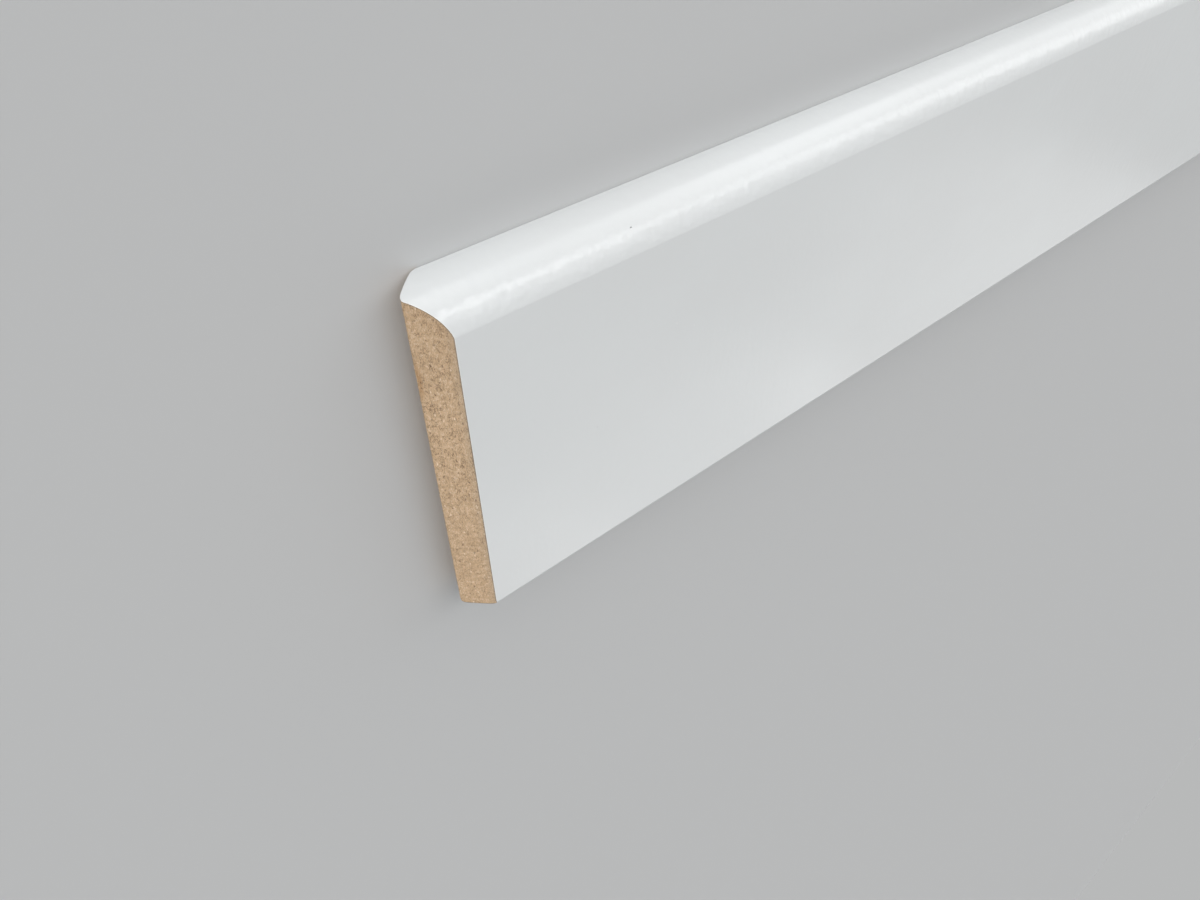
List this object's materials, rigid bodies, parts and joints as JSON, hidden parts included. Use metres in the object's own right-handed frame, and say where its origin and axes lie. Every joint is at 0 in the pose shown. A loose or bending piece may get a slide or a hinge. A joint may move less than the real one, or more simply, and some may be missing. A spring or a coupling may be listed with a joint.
{
  "type": "skirting board length",
  "caption": "Straight length of white-coated MDF skirting board with a bullnose top edge, one end mitred to a point and the other sawn square.",
  "frame": {"origin": "under the middle of the board as it lies on its back, at the centre of the box's bottom face", "axes": "+X along the board towards the mitred end, -Y towards the moulded top edge, +Y towards the foot, +Z out of the face"},
  "size_m": [2.4, 0.094, 0.0145],
  "materials": {
    "board": "satin white factory coat on face, top and foot edge, raw MDF on the cuts and the back"
  },
  "bodies": {
    "root": {"skirting_board": "board"}
  },
  "joints": []
}
